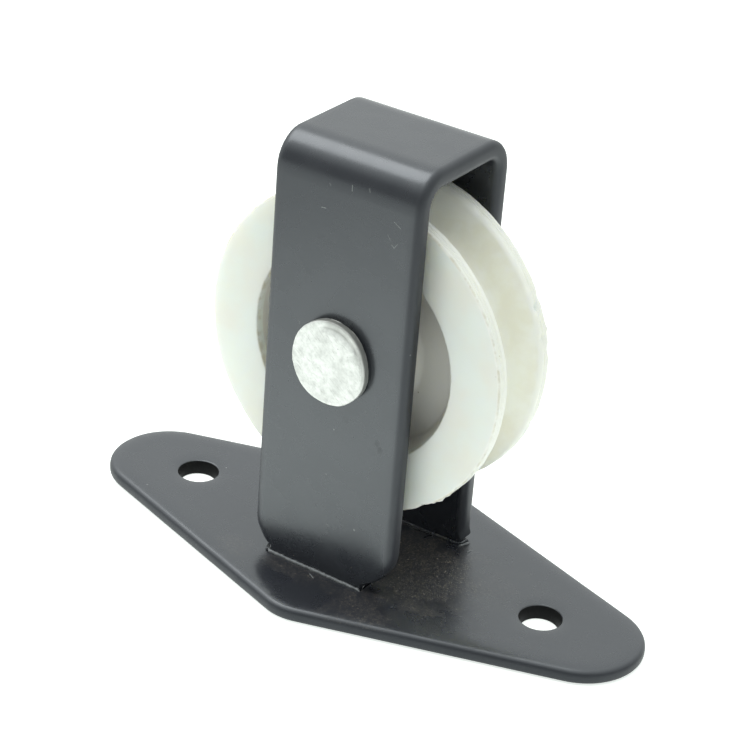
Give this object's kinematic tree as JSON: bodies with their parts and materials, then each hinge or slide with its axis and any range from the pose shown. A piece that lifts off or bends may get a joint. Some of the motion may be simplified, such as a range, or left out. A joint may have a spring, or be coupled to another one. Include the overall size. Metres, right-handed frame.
{
  "type": "fixed rope pulley",
  "caption": "Grooved nylon wheel turning on a rivet in a riveted U bracket, on a flat diamond-shaped screw plate; it guides a rope or cable.",
  "frame": {"origin": "centre of the screw plate's underside", "axes": "+X along the plate's length, +Y along the axle away from the rivet's flat head, +Z from the plate up to the top of the U bracket"},
  "size_m": [0.0966, 0.0458, 0.0708],
  "materials": {
    "black_paint": "satin charcoal paint",
    "nylon": "smooth, slightly translucent moulding",
    "rivet_aluminium": "matte, as formed",
    "bare_steel": "turned"
  },
  "bodies": {
    "bracket_assembly": {"base_plate": "black_paint", "bracket": "black_paint", "axle_rivet": "rivet_aluminium", "distance_sleeve": "bare_steel", "front_washer": "bare_steel", "rear_washer": "bare_steel"},
    "wheel": {"pulley_wheel": "nylon"}
  },
  "joints": [
    {"name": "wheel_spin", "type": "hinge", "parent": "bracket_assembly", "child": "wheel", "pos_m": [0, 0, 0.0385], "axis": [0, 1, 0], "continuous": true}
  ]
}
